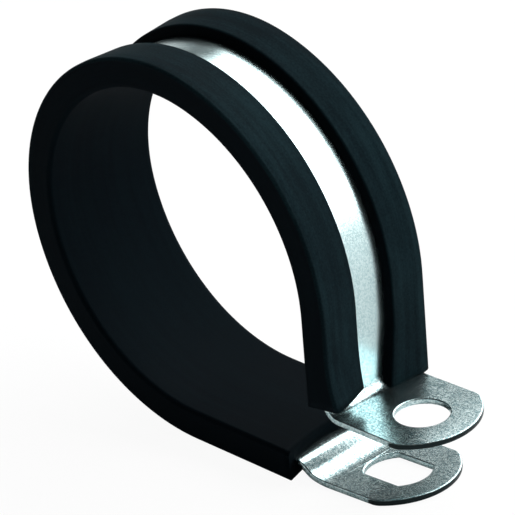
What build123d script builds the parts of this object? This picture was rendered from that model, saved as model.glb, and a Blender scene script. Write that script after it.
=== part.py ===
from build123d import *
import os
from math import sin, cos, radians

# A P clip: a steel strip bent into an open loop with two ears, and a rubber profile round the loop.
# X runs out along the ears, Y along the pipe's axis, Z up from the face that the clip is bolted to.
# Z 0 is the underside of the lower ear, and X 0, Y 0 is the middle of its hole.
# All sizes are in mm, all angles in degrees.

# Steel strip
strip_width = 15.0
strip_t = 0.8
edge_break = 0.1         # chamfer along the strip's sheared edges

# Rubber profile, measured across the strip
side_wall = 1.3          # rubber beside the strip
liner_t = 1.5            # rubber between the strip and the pipe
lip_t = 1.7              # rubber outside the strip
lip_drop = 0.4           # how much thinner a lip is at the channel
channel_width = 5.8      # bare steel between the two lips
side_round = 0.8         # rounding of the long corners outside the strip
bore_break = 0.6         # chamfer of the long corners at the pipe
lip_break = 0.25         # chamfer of the lips along the channel
end_bow = 1.3            # how far each cut end is drawn back at its middle

# The loop, open as it leaves the tool
bore_r = 20.0            # the part of the loop that seats a 40 mm pipe
crown_angle = 115.0      # how far that part goes round
back_r = 23.3            # bore radius behind the pipe, next to the lower leg
back_angle = 77.5
front_r = 23.4           # bore radius in front of the pipe, next to the upper leg
lower_leg = 16.15
lower_slope = 3.5        # how much the lower leg falls towards its ear
upper_leg = 11.5
upper_lean = 2.5         # how much the upper leg falls back from upright

# Bends between the legs and the ears
jog_angle = 36.0         # the step from the lower leg down to its ear
jog_head_r = 1.2
jog_foot_r = 3.0
toe_angle = 12.0         # what is left of the step's slope where it starts to run out
toe_r = 14.0
root_x = -3.978         # where the lower ear turns flat
upper_bend_r = 1.5
upper_droop = 2.2        # how much the upper ear falls towards its tip

# Ears and holes
end_rise = 4.5           # how far the arc across the end of each ear bows out
end_corner_r = 0.5
lower_reach = 7.5        # from the hole's middle to the ear's tip
upper_reach = 7.0
upper_hole_out = 7.0     # from the end of the bend to the hole's middle
upper_hole_d = 6.8
lower_hole_d = 8.4
lower_hole_flats = 6.2

# Derived sizes
half_t = strip_t / 2
inward = half_t + liner_t
outward = half_t + lip_t
rubber_width = strip_width + 2 * side_wall


def line_on(at, heading, length):
    """One straight piece of the strip's middle line, with the point and heading it ends on."""
    end = (at[0] + length * cos(radians(heading)), at[1] + length * sin(radians(heading)))
    return {"kind": "line", "at": at, "heading": heading, "length": length}, end, heading


def arc_on(at, heading, radius, turn):
    """One curved piece of the middle line. A positive turn bends to the right of travel."""
    side = -1 if turn > 0 else 1
    normal = radians(heading + 90 * side)
    centre = (at[0] + radius * cos(normal), at[1] + radius * sin(normal))
    back = radians(heading - turn + 90 * side)
    end = (centre[0] - radius * cos(back), centre[1] - radius * sin(back))
    piece = {"kind": "arc", "at": at, "heading": heading, "centre": centre, "turn": turn}
    return piece, end, heading - turn


def middle_line():
    """The strip's middle line from the lower ear's root round to the upper ear's root."""
    run_out_r = toe_r + half_t
    foot_r = jog_foot_r + half_t
    head_r = jog_head_r + half_t
    toe_rise = run_out_r * (1 - cos(radians(toe_angle)))
    foot_rise = foot_r * (cos(radians(toe_angle)) - cos(radians(jog_angle)))
    head_rise = head_r * (cos(radians(lower_slope)) - cos(radians(jog_angle)))
    jog_rise = outward - half_t - toe_rise - foot_rise - head_rise
    front_angle = 270 - lower_slope + upper_lean - back_angle - crown_angle
    steps = [
        ("jog toe", "arc", run_out_r, toe_angle),
        ("jog foot", "arc", foot_r, jog_angle - toe_angle),
        ("jog", "line", jog_rise / sin(radians(jog_angle)), 0),
        ("jog head", "arc", head_r, lower_slope - jog_angle),
        ("lower leg", "line", lower_leg, 0),
        ("back", "arc", back_r + inward, back_angle),
        ("crown", "arc", bore_r + inward, crown_angle),
        ("front", "arc", front_r + inward, front_angle),
        ("upper leg", "line", upper_leg, 0),
        ("upper bend", "arc", upper_bend_r + half_t, upper_droop - upper_lean - 90),
    ]
    at = (root_x, half_t)
    heading = 180.0
    pieces = {}
    for name, kind, size, turn in steps:
        if kind == "line":
            pieces[name], at, heading = line_on(at, heading, size)
        else:
            pieces[name], at, heading = arc_on(at, heading, size, turn)
    return pieces, at, heading


def travel_of(piece):
    """The direction in which a piece of the middle line starts."""
    return Vector(cos(radians(piece["heading"])), 0, sin(radians(piece["heading"])))


def along(piece, section):
    """The solid that a section makes when it follows one piece of the middle line.

    The section lies in XY: X is across the strip, Y is away from the pipe.
    """
    travel = travel_of(piece)
    plane = Plane(origin=(piece["at"][0], 0, piece["at"][1]), x_dir=(0, 1, 0), z_dir=travel)
    face = plane * section
    if piece["kind"] == "line":
        return extrude(face, amount=piece["length"], dir=travel)
    spin = Axis((piece["centre"][0], 0, piece["centre"][1]), (0, 1, 0))
    return revolve(face, axis=spin, revolution_arc=piece["turn"])


def joined(solids):
    """One solid from pieces that meet end to end."""
    whole = solids[0]
    for solid in solids[1:]:
        whole = whole + solid
    return whole


def ear(length_to_hole, reach, hole):
    """A flat ear from its root at X 0 to its tip, with its hole cut, its middle plane on Z 0."""
    tip = length_to_hole + reach
    side = tip - end_rise
    half = strip_width / 2
    sides = Polyline((side, half), (0, half), (0, -half), (side, -half))
    bowed = ThreePointArc((side, -half), (tip, 0), (side, half))
    outline = make_face(sides + bowed)
    ends = outline.vertices().filter_by_position(Axis.X, side - 0.01, side + 0.01)
    outline = fillet(ends, end_corner_r)
    blank = extrude(outline, amount=half_t, both=True)
    level = blank.edges().filter_by(lambda edge: abs(edge.tangent_at(0.5).Z) < 0.01)
    sheared = level.filter_by(lambda edge: edge.center().X > 0.01)
    blank = chamfer(sheared, edge_break)
    return blank - Pos(length_to_hole, 0) * extrude(hole, amount=strip_t, both=True)


def strip_section():
    """The strip's section, with its sheared edges broken."""
    section = Rectangle(strip_width, strip_t)
    return chamfer(section.vertices(), edge_break)


def clip_band():
    """The steel strip with both ears."""
    pieces, root, heading = middle_line()
    section = strip_section()
    band = joined([along(piece, section) for piece in pieces.values()])
    flats = Circle(lower_hole_d / 2) & Rectangle(lower_hole_d, lower_hole_flats)
    lower = Pos(root_x, 0, half_t) * ear(-root_x, lower_reach, flats)
    upper_place = Pos(root[0], 0, root[1]) * Rot(0, upper_droop, 0)
    upper = upper_place * ear(upper_hole_out, upper_reach, Circle(upper_hole_d / 2))
    return joined([band, lower, upper])


def rubber_section():
    """The rubber's C section, with the slot for the strip and the channel between the lips."""
    side = rubber_width / 2
    mouth = channel_width / 2
    shoulder = strip_width / 2
    thin = outward - lip_drop
    right = [(side, -inward), (side, outward), (shoulder, outward), (mouth, thin)]
    left = [(-x, y) for x, y in reversed(right)]
    section = Polygon(*right, *left, align=None)
    corners = [v for v in section.vertices() if abs(abs(v.X) - side) < 0.01]
    section = fillet([v for v in corners if v.Y > 0], side_round)
    section = chamfer([v for v in section.vertices() if v.Y < 0.01 - inward], bore_break)
    section = section - Pos(0, half_t + lip_t / 2) * Rectangle(channel_width, lip_t)
    lips = [v for v in section.vertices() if abs(abs(v.X) - mouth) < 0.01 and v.Y > half_t + 0.01]
    section = chamfer(lips, lip_break)
    return section - strip_section()


def bowed_end(point, travel):
    """What the bowed cut takes off the end of the rubber at a point that its run ends on."""
    half = rubber_width / 2
    radius = (half ** 2 + end_bow ** 2) / (2 * end_bow)
    segment = Pos(0, end_bow - radius) * Circle(radius) & Pos(0, end_bow / 2) * Rectangle(2 * half, end_bow)
    place = Plane(origin=(point[0], 0, point[1]), x_dir=(0, 1, 0), z_dir=travel.cross(Vector(0, 1, 0)))
    return extrude(place * segment, amount=outward + inward, both=True)


def rubber_lining():
    """The rubber profile, from the lower leg's end round to the upper leg's end."""
    pieces, root, heading = middle_line()
    section = rubber_section()
    names = ["lower leg", "back", "crown", "front", "upper leg"]
    lining = joined([along(pieces[name], section) for name in names])
    lower_end = bowed_end(pieces["lower leg"]["at"], -travel_of(pieces["lower leg"]))
    upper_end = bowed_end(pieces["upper bend"]["at"], travel_of(pieces["upper leg"]))
    return lining - lower_end - upper_end


os.makedirs("parts", exist_ok=True)
export_step(clip_band(), "parts/clip_band.step")
export_step(rubber_lining(), "parts/rubber_lining.step")
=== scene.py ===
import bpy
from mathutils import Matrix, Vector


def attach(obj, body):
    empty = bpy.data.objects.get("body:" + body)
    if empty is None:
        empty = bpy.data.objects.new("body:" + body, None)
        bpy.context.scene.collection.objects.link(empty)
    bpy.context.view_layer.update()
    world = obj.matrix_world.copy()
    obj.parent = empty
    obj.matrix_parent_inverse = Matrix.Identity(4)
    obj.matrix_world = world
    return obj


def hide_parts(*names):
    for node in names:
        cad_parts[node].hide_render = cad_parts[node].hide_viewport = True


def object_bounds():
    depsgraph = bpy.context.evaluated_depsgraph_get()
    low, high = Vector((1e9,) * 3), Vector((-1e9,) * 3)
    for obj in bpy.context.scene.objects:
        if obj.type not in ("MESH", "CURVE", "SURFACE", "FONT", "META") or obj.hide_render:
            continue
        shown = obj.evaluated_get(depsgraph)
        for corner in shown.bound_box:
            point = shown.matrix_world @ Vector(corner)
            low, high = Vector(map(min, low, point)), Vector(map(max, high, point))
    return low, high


bl_info = {
    "name": "Lined P Clip",
    "version": (1, 0, 0),
    "blender": (4, 5, 0),
    "location": "3D View > Sidebar > P Clip",
    "description": "Builds a zinc-plated P clip with its rubber lining, and a soft studio round it",
    "category": "Add Mesh",
}

from math import asin, atan2, ceil, cos, radians, sin

import bmesh
import bpy
from bpy.props import FloatProperty, FloatVectorProperty, PointerProperty
from bpy.types import Operator, Panel, PropertyGroup
from mathutils import Matrix, Vector

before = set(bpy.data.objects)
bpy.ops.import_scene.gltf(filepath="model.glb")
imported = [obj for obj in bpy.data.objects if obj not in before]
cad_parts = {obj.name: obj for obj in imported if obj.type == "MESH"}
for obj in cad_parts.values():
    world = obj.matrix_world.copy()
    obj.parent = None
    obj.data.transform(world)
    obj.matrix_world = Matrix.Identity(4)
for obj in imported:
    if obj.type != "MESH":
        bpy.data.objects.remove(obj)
cad_low, cad_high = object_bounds()

# X runs out along the ears, Y along the pipe's axis, Z up from the lower ear's underside.
# Everything is in metres, as the frame is.
ACROSS = Vector((0, 1, 0))
BODY = "root"

# Mesh
BEND_STEP = radians(2)
STRAIGHT_STEP = 0.001
SECTION_STEP = 0.0012
MERGE = 1e-6
RIM_ANGLE = radians(60)  # edges sharper than this are the strip's sheared rims

# Wear of the strip's rims, and painted shade on them
LONG_EDGE_WEAR_AND_SHADE = 0.1  # how dark the long edges are, from wear and painted shade, where the cropped ends are 1
HOLE_RING = 0.56  # a hole's own rim lies within this share of its diameter

# Upper end of the rubber, in shares of the settings that shape it
LIP_FOOT = 0.45  # share of the strip's thickness above its middle where the lips begin
MOUTH_FLARE = 0.35  # flare of the near lip at the channel
SIDE_FLARE = 0.75  # how much more it flares at the side
TILT_PIVOT = 0.4  # share of the profile's height that the slanting cut turns about
MOUTH_REACH = 0.7  # reach of the far lip at the channel

# Patterns of the two materials
STAIN = 0.0018
ROLLING_LINE = 0.0009
DRAWN_LINE = 0.0008
SKIN = 0.00025
CHALK_PATCH = 0.006
LIT_OUTSIDE = (0.0016, 0.0019)  # height over which the rubber's side turns into its outside, which is painted paler as if lit

# Studio
FLOOR_SIZE = 3.0
FLOOR_DROP = 0.00002
HORIZON = (0.15, 0.45)  # rise of a glossy ray over which the white room fades to its ceiling
LAMP_DISTANCE = 0.6

# The photograph's camera, found from the clip's outlines
SENSOR = 36.0
LENS = 349.51
CAMERA_AT = Vector((0.38333, -0.37293, 0.28794))
CAMERA_RIGHT = Vector((0.710059, 0.696608, -0.102733))
CAMERA_UP = Vector((-0.238755, 0.375441, 0.895567))
CAMERA_BACK = Vector((0.662429, -0.611377, 0.432904))

# Sockets of a Mix node that is set to colours
MIX_FIRST, MIX_SECOND, MIX_RESULT = 6, 7, 2


def length(name, description, default):
    """A size in metres, shown in the scene's own unit."""
    return FloatProperty(
        name=name, description=description, default=default, unit="LENGTH", precision=5
    )


def angle(name, description, degrees):
    """An angle, written in degrees."""
    return FloatProperty(
        name=name,
        description=description,
        default=radians(degrees),
        subtype="ANGLE",
        unit="ROTATION",
    )


def share(name, description, default):
    """A number from none to all."""
    return FloatProperty(
        name=name, description=description, default=default, min=0, max=1, subtype="FACTOR"
    )


def power(name, description, default):
    """The power of a lamp, in watts."""
    return FloatProperty(
        name=name, description=description, default=default, min=0, unit="POWER"
    )


def colour(name, description, default):
    """A surface colour."""
    return FloatVectorProperty(
        name=name,
        description=description,
        default=default,
        min=0,
        max=1,
        size=3,
        subtype="COLOR",
    )


class ClipStrip(PropertyGroup):
    """The steel strip and its two ears."""

    width: length("Width", "Width of the strip, across the clip", 0.015)
    thickness: length("Thickness", "Thickness of the strip", 0.0008)
    edge_round: length("Edge rounding", "Rounding of the sheared edges", 0.00018)
    end_rise: length("End rise", "How far the end of an ear bows out", 0.0045)
    end_corner: length("End corner", "Rounding of an ear's two corners", 0.0005)
    lower_root: length(
        "Lower root", "Where the lower ear turns flat, from its hole's middle", 0.00465
    )
    lower_reach: length("Lower reach", "From the lower hole's middle to the ear's tip", 0.0075)
    lower_hole: length("Lower hole", "Diameter of the lower hole", 0.0084)
    lower_flats: length("Lower hole flats", "Distance between the lower hole's two flats", 0.0062)
    upper_out: length("Upper hole distance", "From the upper bend to the hole's middle", 0.007)
    upper_reach: length("Upper reach", "From the upper hole's middle to the ear's tip", 0.007)
    upper_hole: length("Upper hole", "Diameter of the upper hole", 0.0068)
    upper_bend: length("Upper bend", "Inside radius of the bend above the upper ear", 0.0015)
    upper_droop: angle("Upper droop", "How much the upper ear falls towards its tip", 2.2)
    upper_twist: angle("Upper twist", "How much the upper ear is twisted at its tip", 1.2)
    jog_angle: angle("Step angle", "Slope of the step from the lower leg down to its ear", 36)
    jog_head: length("Step head radius", "Inside radius at the head of the step", 0.0012)
    jog_foot: length("Step foot radius", "Inside radius at the foot of the step", 0.003)
    toe_angle: angle("Step toe angle", "Slope that is left where the step starts to run out", 12)
    toe: length("Step toe radius", "Inside radius where the step runs out", 0.01022)


class ClipLoop(PropertyGroup):
    """The open loop that goes round the pipe."""

    bore: length("Bore radius", "Radius of the part of the loop that seats the pipe", 0.020)
    crown: angle("Crown angle", "How far that part goes round", 115)
    back_bore: length("Back radius", "Bore radius behind the pipe", 0.0233)
    back: angle("Back angle", "How far the back goes round", 77.5)
    front_bore: length("Front radius", "Bore radius in front of the pipe", 0.0234)
    lower_leg: length("Lower leg", "Length of the straight lower leg", 0.01615)
    lower_slope: angle("Lower slope", "How much the lower leg falls towards its ear", 3.5)
    upper_leg: length("Upper leg", "Length of the straight upper leg", 0.0115)
    upper_lean: angle("Upper lean", "How much the upper leg falls back from upright", 2.5)


class ClipRubber(PropertyGroup):
    """The rubber profile that holds the strip."""

    side_wall: length("Side wall", "Rubber beside the strip", 0.0013)
    liner: length("Liner", "Rubber between the strip and the pipe", 0.0015)
    lip: length("Lip", "Rubber outside the strip", 0.0017)
    lip_drop: length("Lip drop", "How much thinner a lip is at the channel", 0.0003)
    channel: length("Channel", "Width of bare steel between the lips", 0.00615)
    channel_shift: length(
        "Channel shift", "How far the channel lies off the middle of the strip", 0.00037
    )
    side_round: length("Side rounding", "Rounding of the long corners outside the strip", 0.0004)
    bore_round: length("Bore rounding", "Rounding of the long corners at the pipe", 0.0006)
    lip_round: length("Lip rounding", "Rounding of the lips along the channel", 0.0003)
    end_bow: length("End bow", "How far the lower cut end is drawn back at its middle", 0.0013)
    flare_run: length(
        "Flare length", "Length of the upper leg over which the lips leave their line", 0.007
    )
    near_draw: length("Near lip draw", "How far its end is drawn back at the channel", 0.0015)
    near_tilt: length(
        "Near lip tilt", "How much further its outside is drawn back than its inside", 0.0007
    )
    near_flare: length("Near lip flare", "How far its end is pushed outwards", 0.0012)
    far_reach: length("Far lip reach", "How far its end reaches down to the ear", 0.0015)
    far_squeeze: length(
        "Far lip squeeze", "How far its end closes over the channel", 0.0012
    )


class ClipFinish(PropertyGroup):
    """Colours and surface of the two materials."""

    zinc_light: colour("Zinc", "Zinc plate in the light", (0.60, 0.72, 0.72))
    zinc_dark: colour(
        "Dark zinc", "Zinc plate in the dark specks of its grain", (0.15, 0.27, 0.29)
    )
    # Dark rim colour: partly thin plating at the cropped ends, partly painted shade where the rims
    # would reflect dark surroundings.
    zinc_rim_wear_and_shade: colour(
        "Sheared edge", "The strip's thinly plated cropped ends", (0.012, 0.018, 0.019)
    )
    zinc_roughness: share("Zinc roughness", "Roughness of the plated strip", 0.25)
    grain: length("Grain", "Size of the plating's grain", 0.00017)
    rubber: colour("Rubber", "Colour of the rubber", (0.0014, 0.0024, 0.0038))
    # Paler rubber: the rubber's own chalky patches, and painted light that makes the whole outside
    # paler than the sides and bore.
    rubber_chalk_and_painted_light: colour(
        "Chalky rubber",
        "Rubber where it is dusty or rubbed, most on the outside",
        (0.0072, 0.0172, 0.0208),
    )
    rubber_roughness: share("Rubber roughness", "Roughness of the rubber", 0.7)


class ClipStage(PropertyGroup):
    """Floor, backdrop and lamps."""

    floor: colour("Floor", "Colour of the floor", (0.85, 0.86, 0.86))
    room: share("Room light", "Strength of the light from all round", 0.05)
    ceiling: share("Ceiling", "How much of the white the gloss is shown overhead", 0.05)
    key: power("Key light", "Power of the large lamp behind the clip", 12.0)
    top: power("Top light", "Power of the lamp overhead, which the gloss does not show", 1.0)
    shadow: share("Shadow", "How much of the shadow the floor shows", 0.06)
    mirrored_shadow: share(
        "Mirrored shadow", "How much of the shadow the floor shows to the gloss", 0.9
    )


class ClipSettings(PropertyGroup):
    """All of the clip's settings."""

    strip: PointerProperty(type=ClipStrip)
    loop: PointerProperty(type=ClipLoop)
    rubber: PointerProperty(type=ClipRubber)
    finish: PointerProperty(type=ClipFinish)
    stage: PointerProperty(type=ClipStage)


class Run:
    """One straight or bent piece of the strip's middle line, in the plane of X and Z."""

    def __init__(self, start, travel, length=0.0, radius=0.0, turn=0.0):
        self.start = start
        self.travel = travel
        self.turn = turn
        self.length = length or radius * abs(turn)
        self.outside = travel.cross(ACROSS)
        if turn:
            # A positive turn bends to the right of travel, round a centre on the side of the pipe.
            self.centre = start - self.outside * radius * (1 if turn > 0 else -1)
            swing = Matrix.Rotation(turn, 3, "Y")
            self.end = self.centre + swing @ (start - self.centre)
            self.end_travel = swing @ travel
        else:
            self.end = start + travel * length
            self.end_travel = travel

    def draw(self, bm, geom):
        """Draws geometry along this run and returns the copy at its end."""
        if self.turn:
            steps = ceil(abs(self.turn) / BEND_STEP)
            path = {"cent": self.centre, "angle": self.turn}
        else:
            steps = ceil(self.length / STRAIGHT_STEP)
            path = {"cent": self.start, "angle": 0, "dvec": self.travel * self.length / steps}
        return bmesh.ops.spin(bm, geom=geom, axis=ACROSS, steps=steps, **path)["geom_last"]

    def unroll(self, point):
        """A point's distance along this run, its height outside it, and how far past an end."""
        if self.turn:
            arm = self.start - self.centre
            spoke = Vector((point.x, 0, point.z)) - self.centre
            along = atan2(spoke.dot(self.travel), spoke.dot(arm.normalized())) * arm.length
            height = (spoke.length - arm.length) * (1 if self.turn > 0 else -1)
        else:
            along = (point - self.start).dot(self.travel)
            height = (point - self.start).dot(self.outside)
        beyond = max(0.0, -along, along - self.length)
        return along, height, beyond


def strip_route(clip):
    """The strip's middle line, from the lower ear's root round to the upper ear's root."""
    strip, loop, rubber = clip.strip, clip.loop, clip.rubber
    half = strip.thickness / 2
    inward = half + rubber.liner
    outward = half + rubber.lip
    toe = strip.toe + half
    foot = strip.jog_foot + half
    head = strip.jog_head + half
    toe_rise = toe * (1 - cos(strip.toe_angle))
    foot_rise = foot * (cos(strip.toe_angle) - cos(strip.jog_angle))
    head_rise = head * (cos(loop.lower_slope) - cos(strip.jog_angle))
    jog = (outward - half - toe_rise - foot_rise - head_rise) / sin(strip.jog_angle)
    front = radians(270) - loop.lower_slope + loop.upper_lean - loop.back - loop.crown
    into_ear = strip.upper_droop - loop.upper_lean - radians(90)
    moves = {
        "step toe": {"radius": toe, "turn": strip.toe_angle},
        "step foot": {"radius": foot, "turn": strip.jog_angle - strip.toe_angle},
        "step": {"length": jog},
        "step head": {"radius": head, "turn": loop.lower_slope - strip.jog_angle},
        "lower leg": {"length": loop.lower_leg},
        "back": {"radius": loop.back_bore + inward, "turn": loop.back},
        "crown": {"radius": loop.bore + inward, "turn": loop.crown},
        "front": {"radius": loop.front_bore + inward, "turn": front},
        "upper leg": {"length": loop.upper_leg},
        "upper bend": {"radius": strip.upper_bend + half, "turn": into_ear},
    }
    at = Vector((-strip.lower_root, 0, half))
    travel = Vector((-1, 0, 0))
    route = {}
    for name, move in moves.items():
        run = Run(at, travel, **move)
        at, travel = run.end, run.end_travel
        route[name] = run
    return route


def new_piece(name, bm, material, node):
    """Makes a finished object from a bmesh and lets it stand for a CAD node."""
    mesh = bpy.data.meshes.new(name)
    bm.to_mesh(mesh)
    bm.free()
    mesh.materials.append(material)
    mesh.shade_smooth()
    piece = bpy.data.objects.new(name, mesh)
    bpy.context.scene.collection.objects.link(piece)
    weighted = piece.modifiers.new("Even shading", "WEIGHTED_NORMAL")
    weighted.weight = 100
    weighted.keep_sharp = True
    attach(piece, BODY)
    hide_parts(node)
    return piece


def keep_unrolled(bm, runs):
    """Stores on each vertex where it lies on the strip laid flat: along, across and height."""
    layer = bm.verts.layers.float_vector.new("laid_flat")
    for vert in bm.verts:
        places = []
        before = 0.0
        for run in runs:
            along, height, beyond = run.unroll(vert.co)
            places.append((beyond + abs(height), before + along, height))
            before += run.length
        _, along, height = min(places, key=lambda place: place[0])
        vert[layer] = (along, vert.co.y, height)
    return layer


def mark_worn_and_shaded(bm, flat, strip, holes, total, loop):
    """Stores how dark the strip's rims are, holes apart, from worn plating and painted shade, and
    what is bare of rubber.
    """
    sheared = bm.verts.layers.float.new("sheared")
    bare = bm.verts.layers.float.new("bare")
    cropped = strip.end_rise + 2 * strip.end_corner
    for vert in bm.verts:
        along, across, height = vert[flat]
        depth = min(1.0, max(0.0, (strip.thickness / 2 - abs(height)) / strip.edge_round))
        in_hole = any(
            Vector((along - middle, across)).length < size * HOLE_RING for middle, size in holes
        )
        # The cropped ends get the full dark rim: partly worn plating, partly painted shade.
        rim_wear_and_shade = 1.0 if min(along, total - along) < cropped else LONG_EDGE_WEAR_AND_SHADE
        vert[sheared] = 0.0 if in_hole else depth * rim_wear_and_shade
        vert[bare] = 0.0 if loop[0] < along < loop[1] else 1.0


def only(items, kind):
    """The members of a bmesh operator's result that are of one kind."""
    return [item for item in items if isinstance(item, kind)]


def ear_sheet(strip, hole_at, reach, hole, flats):
    """A flat ear from its root at X 0 to its tip, with a bowed end and its hole."""
    half = strip.width / 2
    tip = hole_at + reach
    side = tip - strip.end_rise
    bow = (half**2 + strip.end_rise**2) / (2 * strip.end_rise)
    ear = bmesh.new()
    corner = ear.verts.new((side, -half, 0))
    bmesh.ops.spin(
        ear,
        geom=[corner],
        cent=(tip - bow, 0, 0),
        axis=(0, 0, 1),
        angle=2 * asin(half / bow),
        steps=32,
    )
    around = list(ear.verts)
    # The two inland vertices keep the wear and painted shade of the corners off the straight sides.
    inland = side - 3 * strip.end_corner
    straight = ((inland, half), (0, half), (0, -half), (inland, -half))
    sides = [ear.verts.new((x, y, 0)) for x, y in straight]
    ear.faces.new(sides + around)
    bmesh.ops.bevel(
        ear,
        geom=[corner, around[-1]],
        offset=strip.end_corner,
        segments=4,
        profile=0.5,
        affect="VERTICES",
        material=-1,
    )
    bmesh.ops.delete(ear, geom=list(ear.faces), context="FACES_ONLY")
    punch = bmesh.new()
    bmesh.ops.create_circle(punch, cap_ends=True, segments=64, radius=hole / 2)
    for way in (1, -1) if flats < hole else ():
        bmesh.ops.bisect_plane(
            punch,
            geom=[*punch.faces, *punch.edges, *punch.verts],
            plane_co=(0, way * flats / 2, 0),
            plane_no=(0, way, 0),
            clear_outer=True,
        )
    bmesh.ops.delete(punch, geom=list(punch.faces), context="FACES_ONLY")
    bmesh.ops.translate(punch, verts=punch.verts, vec=(hole_at, 0, 0))
    add_to(ear, punch)
    bmesh.ops.triangle_fill(ear, edges=list(ear.edges), use_beauty=True, normal=(0, 0, 1))
    return ear


def add_to(bm, other):
    """Moves everything from another bmesh into this one."""
    carried = bpy.data.meshes.new("carried")
    other.to_mesh(carried)
    other.free()
    bm.from_mesh(carried)
    bpy.data.meshes.remove(carried)


def twist(verts, origin, direction, reach, amount):
    """Turns vertices about a line from a point, more the further they lie along it."""
    for vert in verts:
        along = direction.dot(vert.co - origin)
        foot = origin + direction * along
        turn = Matrix.Rotation(amount * along / reach, 3, direction)
        vert.co = foot + turn @ (vert.co - foot)


def thicken(bm, strip):
    """Gives the sheet its thickness, half to each side, and rounds its rims."""
    bmesh.ops.recalc_face_normals(bm, faces=bm.faces)
    bm.normal_update()
    for vert in bm.verts:
        vert.co += vert.normal * strip.thickness / 2
    bmesh.ops.solidify(bm, geom=list(bm.faces), thickness=strip.thickness)
    bmesh.ops.recalc_face_normals(bm, faces=bm.faces)
    bm.normal_update()
    rims = [
        edge
        for edge in bm.edges
        if len(edge.link_faces) == 2 and edge.calc_face_angle() > RIM_ANGLE
    ]
    bmesh.ops.bevel(
        bm,
        geom=rims,
        offset=strip.edge_round,
        segments=3,
        profile=0.5,
        affect="EDGES",
        material=-1,
    )


class PCLIP_OT_strip(Operator):
    """Bends the steel strip round the loop and adds both ears"""

    bl_idname = "pclip.strip"
    bl_label = "Steel Strip"

    def execute(self, context):
        clip = context.scene.p_clip
        strip = clip.strip
        route = strip_route(clip)
        runs = list(route.values())
        half = strip.width / 2
        bm = bmesh.new()

        foot, root = runs[0], runs[-1]
        lower = ear_sheet(
            strip, strip.lower_root, strip.lower_reach, strip.lower_hole, strip.lower_flats
        )
        bmesh.ops.translate(lower, verts=lower.verts, vec=foot.start)
        add_to(bm, lower)
        upper = ear_sheet(
            strip, strip.upper_out, strip.upper_reach, strip.upper_hole, strip.upper_hole
        )
        place = Matrix.Translation(root.end) @ Matrix.Rotation(strip.upper_droop, 4, "Y")
        bmesh.ops.transform(upper, matrix=place, verts=upper.verts)
        add_to(bm, upper)

        ends = [bm.verts.new(foot.start + ACROSS * side * half) for side in (-1, 1)]
        section = ends + [bm.edges.new(ends)]
        for run in runs:
            section = run.draw(bm, section)
        bmesh.ops.remove_doubles(bm, verts=bm.verts, dist=MERGE)
        thicken(bm, strip)

        lower_reach = strip.lower_root + strip.lower_reach
        upper_reach = strip.upper_out + strip.upper_reach
        lower_ear = Run(foot.start - foot.travel * lower_reach, foot.travel, lower_reach)
        upper_ear = Run(root.end, root.end_travel, upper_reach)
        flat = keep_unrolled(bm, [lower_ear, *runs, upper_ear])
        before_ear = lower_reach + sum(run.length for run in runs)
        holes = (
            (strip.lower_reach, strip.lower_hole),
            (before_ear + strip.upper_out, strip.upper_hole),
        )
        step = sum(route[name].length for name in ("step toe", "step foot", "step", "step head"))
        loop = (lower_reach + step, before_ear - root.length)
        mark_worn_and_shaded(bm, flat, strip, holes, before_ear + upper_reach, loop)
        ear = [vert for vert in bm.verts if vert[flat].x > before_ear]
        twist(ear, root.end, root.end_travel, upper_reach, strip.upper_twist)
        new_piece("steel_strip", bm, zinc_material(clip.finish), "clip_band")
        return {"FINISHED"}


def rubber_section(bm, clip, run):
    """The rubber's C section as a face, standing across the start of a run."""
    strip, rubber = clip.strip, clip.rubber
    half_t = strip.thickness / 2
    side = strip.width / 2 + rubber.side_wall
    slot = strip.width / 2
    outer = half_t + rubber.lip
    inner = -half_t - rubber.liner
    thin = outer - rubber.lip_drop
    halves = []
    for way in (1, -1):
        mouth = rubber.channel / 2 + way * rubber.channel_shift
        half = [
            ((side, inner), rubber.bore_round),
            ((side, outer), rubber.side_round),
            ((slot, outer), 0),
            ((mouth, thin), rubber.lip_round),
            ((mouth, half_t), 0),
            ((slot, half_t), 0),
            ((slot, -half_t), 0),
        ]
        halves.append([((way * y, z), size) for (y, z), size in half])
    corners = halves[0] + halves[1][::-1]
    verts = [bm.verts.new(run.start + ACROSS * y + run.outside * z) for (y, z), _ in corners]
    bm.faces.new(verts)
    for size in (rubber.bore_round, rubber.side_round, rubber.lip_round):
        picked = [
            vert for vert, (_, wanted) in zip(verts, corners) if vert.is_valid and wanted == size
        ]
        bmesh.ops.bevel(
            bm,
            geom=picked,
            offset=size,
            segments=8,
            profile=0.5,
            affect="VERTICES",
            material=-1,
        )
    strips = int(2 * side / SECTION_STEP)
    for cut in range(1, strips):
        across = side * (2 * cut / strips - 1)
        bmesh.ops.bisect_plane(
            bm,
            geom=[*bm.faces, *bm.edges, *bm.verts],
            dist=1e-7,
            plane_co=ACROSS * across,
            plane_no=ACROSS,
        )
    return [*bm.faces, *bm.edges, *bm.verts]


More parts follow.
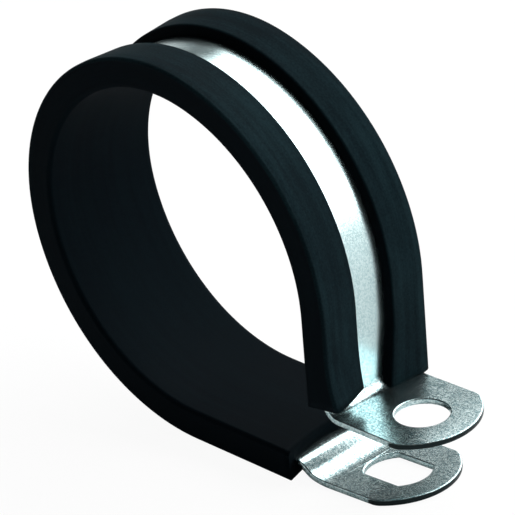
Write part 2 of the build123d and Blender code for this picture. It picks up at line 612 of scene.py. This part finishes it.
class PCLIP_OT_rubber(Operator):
    """Draws the rubber profile along the loop and shapes its two cut ends"""

    bl_idname = "pclip.rubber"
    bl_label = "Rubber Lining"

    def execute(self, context):
        clip = context.scene.p_clip
        rubber = clip.rubber
        route = strip_route(clip)
        names = ["lower leg", "back", "crown", "front", "upper leg"]
        runs = [route[name] for name in names]
        half = clip.strip.width / 2 + rubber.side_wall
        bm = bmesh.new()
        section = rubber_section(bm, clip, runs[0])
        for vert in only(section, bmesh.types.BMVert):
            vert.co += runs[0].travel * rubber.end_bow * (1 - (vert.co.y / half) ** 2)
        for run in runs:
            section = run.draw(bm, section)
        bmesh.ops.recalc_face_normals(bm, faces=bm.faces)
        flat = keep_unrolled(bm, runs)
        self.shape_upper_end(bm, flat, clip, runs[-1], sum(run.length for run in runs))
        material = rubber_material(clip.finish)
        new_piece("rubber_profile", bm, material, "rubber_lining")
        return {"FINISHED"}

    def shape_upper_end(self, bm, flat, clip, leg, end):
        """Draws the near lip's end back and out, and lets the far lip reach down to the ear."""
        rubber = clip.rubber
        half = clip.strip.width / 2 + rubber.side_wall
        mouth = rubber.channel / 2
        outer = clip.strip.thickness / 2 + rubber.lip
        inner = -clip.strip.thickness / 2 - rubber.liner
        for vert in bm.verts:
            # Each share runs from 0 to 1: down the flare, out from the pipe, from the mouth to
            # the side, and from the profile's middle to the near mouth.
            along, across, height = vert[flat]
            lean = max(0.0, (along - end + rubber.flare_run) / rubber.flare_run)
            lift = (height - inner) / (outer - inner)
            beside = max(0.0, abs(across) - mouth) / (half - mouth)
            near = min(1.0, max(0.0, -across / mouth))

            flare = rubber.near_flare * near * (MOUTH_FLARE + SIDE_FLARE * beside)
            vert.co += leg.outside * flare * lift * lean**2
            if across > 0 and height > clip.strip.thickness * LIP_FOOT:
                vert.co -= ACROSS * rubber.far_squeeze * lean * (half - across) / (half - mouth)

            tilt = rubber.near_tilt * (TILT_PIVOT - lift)
            if across < -mouth:
                drawn = rubber.near_draw * (beside - 1) + tilt
            elif across > mouth:
                drawn = rubber.far_reach * (MOUTH_REACH + (1 - MOUTH_REACH) * beside)
            else:
                far = (across / mouth + 1) / 2
                reach = MOUTH_REACH * rubber.far_reach
                drawn = reach * far + (tilt - rubber.near_draw) * (1 - far)
            vert.co += leg.travel * drawn * lean


class Wire:
    """A node socket that adds Math nodes when it is used in an expression."""

    def __init__(self, tree, socket):
        self.tree = tree
        self.socket = socket

    def node(self, kind, settings, inputs, output=0):
        """Adds a node: its settings are set first, then its inputs, and one output comes back."""
        made = self.tree.nodes.new(kind)
        for name, value in settings.items():
            setattr(made, name, value)
        for name, value in inputs.items():
            if isinstance(value, Wire):
                self.tree.links.new(value.socket, made.inputs[name])
            else:
                made.inputs[name].default_value = value
        return Wire(self.tree, made.outputs[output])

    def maths(self, operation, first, second):
        """Adds a Math node for two values."""
        return self.node("ShaderNodeMath", {"operation": operation}, {0: first, 1: second})

    def __add__(self, other):
        return self.maths("ADD", self, other)

    def __radd__(self, other):
        return self.maths("ADD", other, self)

    def __sub__(self, other):
        return self.maths("SUBTRACT", self, other)

    def __rsub__(self, other):
        return self.maths("SUBTRACT", other, self)

    def __mul__(self, other):
        return self.maths("MULTIPLY", self, other)

    def __rmul__(self, other):
        return self.maths("MULTIPLY", other, self)


def noise(flat, size, stretch=(1, 1, 1), detail=3.0, rough=0.5):
    """A noise with bumps of one size, drawn out along the laid-flat axes by a small stretch."""
    drawn = {"Vector": flat, "Scale": stretch}
    at = flat.node("ShaderNodeMapping", {"vector_type": "POINT"}, drawn)
    return flat.node(
        "ShaderNodeTexNoise",
        {"noise_dimensions": "3D"},
        {"Vector": at, "Scale": 1 / size, "Detail": detail, "Roughness": rough},
        "Fac",
    )


def stored(wire, name, output="Fac"):
    """What the mesh stores under a name."""
    return wire.node("ShaderNodeAttribute", {"attribute_name": name}, {}, output)


def rise(value, low, high):
    """A value stretched so that it runs from none at low to all at high."""
    ends = {"Value": value, "From Min": low, "From Max": high}
    return value.node("ShaderNodeMapRange", {}, ends, "Result")


def blended(amount, first, second):
    """Two colours mixed by an amount."""
    first, second = (end if isinstance(end, Wire) else (*end, 1) for end in (first, second))
    ends = {"Factor": amount, MIX_FIRST: first, MIX_SECOND: second}
    return amount.node("ShaderNodeMix", {"data_type": "RGBA"}, ends, MIX_RESULT)


def bumped(height, strength, distance, shader):
    """Sends a height to a shader's normal as a bump."""
    ends = {"Strength": strength, "Distance": distance, "Height": height}
    normal = height.node("ShaderNodeBump", {}, ends, "Normal")
    height.tree.links.new(normal.socket, shader.inputs["Normal"])


def new_material(name):
    """A material, its shader, and where each point lies on the strip laid flat."""
    material = bpy.data.materials.new(name)
    material.use_nodes = True
    shader = material.node_tree.nodes["Principled BSDF"]
    flat = stored(Wire(material.node_tree, None), "laid_flat", "Vector")
    return material, shader, flat


def zinc_material(finish):
    """Bright zinc plate: a crystal grain, strongest on the ears, rolling lines, and dark cropped
    ends that are partly worn plating and partly painted shade.
    """
    material, shader, flat = new_material("zinc_plate")
    tree = material.node_tree
    fine = noise(flat, finish.grain, detail=2.0, rough=0.6)
    grain = {"Vector": flat, "Scale": 1 / finish.grain}
    cells = flat.node("ShaderNodeTexVoronoi", {"feature": "F1"}, grain, "Color")
    crystals = flat.node("ShaderNodeSeparateColor", {"mode": "RGB"}, {"Color": cells}, "Red")
    cloud = noise(flat, STAIN)
    lines = noise(flat, ROLLING_LINE, stretch=(0.06, 1, 1), detail=2.0)

    specks = rise(crystals * 0.5 + fine * 0.3 + cloud * 0.2, 0.31, 0.65)
    specks = (specks - 0.6) * (stored(flat, "bare") * 0.5 + 0.3) + 0.6
    plate = blended(specks, finish.zinc_dark, finish.zinc_light)
    # Painted shade on the rims at the cropped ends, mixed with the worn plating there.
    rim_wear_and_shade = rise(stored(flat, "sheared") + lines * 0.4, 0.45, 0.85)
    tone = blended(rim_wear_and_shade, plate, finish.zinc_rim_wear_and_shade)
    tree.links.new(tone.socket, shader.inputs["Base Color"])
    roughness = (finish.zinc_roughness - 0.05) + cloud * 0.06 + lines * 0.04 + rim_wear_and_shade * 0.2
    tree.links.new(roughness.socket, shader.inputs["Roughness"])
    shader.inputs["Metallic"].default_value = 1.0
    bumped(fine + lines * 0.6, 0.25, 0.00001, shader)
    return material


def rubber_material(finish):
    """Matt extruded rubber: lines along the profile, a fine pitted skin, chalky patches, and
    painted light that makes its outside paler than its sides and bore.
    """
    material, shader, flat = new_material("black_rubber")
    tree = material.node_tree
    drawn = noise(flat, DRAWN_LINE, stretch=(0.03, 1, 1), rough=0.6)
    skin = noise(flat, SKIN, detail=2.0)
    patches = noise(flat, CHALK_PATCH, stretch=(0.5, 1, 1), detail=4.0, rough=0.6)

    height = flat.node("ShaderNodeSeparateXYZ", {}, {"Vector": flat}, "Z")
    chalk = rise(patches * 0.35 + drawn * 0.35 + skin * 0.3, 0.42, 0.62)
    # Painted light: the whole outside is paler than the sides and bore, which stand in shade; the
    # chalky patches are the rubber's own.
    chalk_and_painted_light = rise(height, *LIT_OUTSIDE) * (chalk * 0.6 + 0.25) + chalk * 0.12
    tone = blended(chalk_and_painted_light, finish.rubber, finish.rubber_chalk_and_painted_light)
    tree.links.new(tone.socket, shader.inputs["Base Color"])
    roughness = (finish.rubber_roughness - 0.08) + patches * 0.16
    tree.links.new(roughness.socket, shader.inputs["Roughness"])
    shader.inputs["Specular IOR Level"].default_value = 0.02
    shader.inputs["Specular Tint"].default_value = (0.3, 0.9, 1.0, 1)
    bumped(drawn + skin * 0.5, 0.4, 0.00004, shader)
    return material


def white_rays(tree):
    """One number for the camera's rays, and one for gloss and for rays through glass."""
    path = tree.nodes.new("ShaderNodeLightPath")
    names = ("Is Camera Ray", "Is Glossy Ray", "Is Transmission Ray")
    camera, gloss, clear = (Wire(tree, path.outputs[name]) for name in names)
    return camera, gloss.maths("MAXIMUM", gloss, clear)


def mixed_shader(tree, amount, first, second, output):
    """Mixes two shaders by an amount and sends them to the material's or world's end."""
    mix = tree.nodes.new("ShaderNodeMixShader")
    tree.links.new(amount.socket, mix.inputs[0])
    tree.links.new(first.outputs[0], mix.inputs[1])
    tree.links.new(second.outputs[0], mix.inputs[2])
    tree.links.new(mix.outputs[0], tree.nodes[output].inputs["Surface"])


class PCLIP_OT_stage(Operator):
    """Lays the pale floor and sets the white room and the lamps"""

    bl_idname = "pclip.stage"
    bl_label = "Studio"

    def execute(self, context):
        stage = context.scene.p_clip.stage
        self.floor(context, stage)
        self.room(context, stage)
        middle = (cad_low + cad_high) / 2
        self.lamp(context, "key", middle, (13, 34), (1.04, 0.8), stage.key)
        top = self.lamp(context, "top", middle, (80, 62), (0.5, 0.5), stage.top)
        top.visible_glossy = False
        context.scene.view_settings.view_transform = "Standard"
        return {"FINISHED"}

    def floor(self, context, stage):
        """A white floor to the camera, which shows a part of the clip's shadow."""
        bm = bmesh.new()
        bmesh.ops.create_grid(bm, x_segments=1, y_segments=1, size=FLOOR_SIZE)
        bmesh.ops.translate(bm, verts=bm.verts, vec=(0, 0, -FLOOR_DROP))
        mesh = bpy.data.meshes.new("floor")
        bm.to_mesh(mesh)
        bm.free()
        floor = bpy.data.objects.new("floor", mesh)
        context.scene.collection.objects.link(floor)

        material = bpy.data.materials.new("pale_floor")
        material.use_nodes = True
        tree = material.node_tree
        plain = tree.nodes["Principled BSDF"]
        plain.inputs["Base Color"].default_value = (*stage.floor, 1)
        plain.inputs["Roughness"].default_value = 0.9
        white = tree.nodes.new("ShaderNodeEmission")
        camera, gloss = white_rays(tree)
        seen = camera * (1 - stage.shadow)
        mirrored = gloss * (1 - stage.mirrored_shadow)
        shown = seen.maths("MAXIMUM", seen, mirrored)
        mixed_shader(tree, shown, plain, white, "Material Output")
        mesh.materials.append(material)

    def room(self, context, stage):
        """A dim room that the camera sees as white, and the gloss as white up to the horizon."""
        world = bpy.data.worlds.new("white_room")
        context.scene.world = world
        world.use_nodes = True
        tree = world.node_tree
        dim = tree.nodes["Background"]
        dim.inputs["Color"].default_value = (1, 1, 1, 1)
        dim.inputs["Strength"].default_value = stage.room
        white = tree.nodes.new("ShaderNodeBackground")
        white.inputs["Color"].default_value = (1, 1, 1, 1)
        white.inputs["Strength"].default_value = 1.0
        camera, gloss = white_rays(tree)
        direction = camera.node("ShaderNodeTexCoord", {}, {}, "Generated")
        up = camera.node("ShaderNodeSeparateXYZ", {}, {"Vector": direction}, "Z")
        overhead = 1 - rise(up, *HORIZON) * (1 - stage.ceiling)
        shown = camera.maths("MAXIMUM", camera, gloss * overhead)
        mixed_shader(tree, shown, dim, white, "World Output")

    def lamp(self, context, name, target, place, size, power):
        """One large soft lamp, placed by its azimuth and elevation in degrees.

        Azimuth 0 is behind the clip, along +Y, and 90 is along +X.
        """
        data = bpy.data.lights.new(name, "AREA")
        data.shape = "RECTANGLE"
        data.size, data.size_y = size
        data.energy = power
        lamp = bpy.data.objects.new(name, data)
        azimuth, elevation = (radians(degrees) for degrees in place)
        level = Vector((sin(azimuth), cos(azimuth), 0))
        direction = level * cos(elevation) + Vector((0, 0, sin(elevation)))
        lamp.location = target + direction * LAMP_DISTANCE
        lamp.rotation_mode = "QUATERNION"
        lamp.rotation_quaternion = (-direction).to_track_quat("-Z", "Y")
        lamp.visible_camera = False
        context.scene.collection.objects.link(lamp)
        return lamp


class PCLIP_OT_camera(Operator):
    """Puts the camera where the photograph was taken from"""

    bl_idname = "pclip.camera"
    bl_label = "Photo Camera"

    def execute(self, context):
        data = bpy.data.cameras.new("photo_camera")
        data.sensor_width = SENSOR
        data.lens = LENS
        camera = bpy.data.objects.new("photo_camera", data)
        place = Matrix((CAMERA_RIGHT, CAMERA_UP, CAMERA_BACK)).transposed().to_4x4()
        place.translation = CAMERA_AT
        camera.matrix_world = place
        context.scene.collection.objects.link(camera)
        context.scene.camera = camera
        return {"FINISHED"}


class PCLIP_PT_panel(Panel):
    """Lists what builds the clip, and all of its settings"""

    bl_idname = "PCLIP_PT_panel"
    bl_label = "P Clip"
    bl_space_type = "VIEW_3D"
    bl_region_type = "UI"
    bl_category = "P Clip"

    def draw(self, context):
        clip = context.scene.p_clip
        for operator in OPERATORS:
            self.layout.operator(operator.bl_idname)
        for title in ("strip", "loop", "rubber", "finish", "stage"):
            box = self.layout.box()
            box.label(text=title.capitalize())
            group = getattr(clip, title)
            for name in group.bl_rna.properties.keys():
                if name not in ("name", "rna_type"):
                    box.prop(group, name)


OPERATORS = (PCLIP_OT_strip, PCLIP_OT_rubber, PCLIP_OT_stage, PCLIP_OT_camera)
GROUPS = (ClipStrip, ClipLoop, ClipRubber, ClipFinish, ClipStage, ClipSettings)
CLASSES = (*GROUPS, *OPERATORS, PCLIP_PT_panel)


def register():
    for cls in CLASSES:
        bpy.utils.register_class(cls)
    bpy.types.Scene.p_clip = PointerProperty(type=ClipSettings)


def unregister():
    del bpy.types.Scene.p_clip
    for cls in reversed(CLASSES):
        bpy.utils.unregister_class(cls)


def main():
    register()
    bpy.ops.pclip.camera()
    bpy.ops.pclip.strip()
    bpy.ops.pclip.rubber()
    bpy.ops.pclip.stage()


if __name__ == "__main__":
    main()
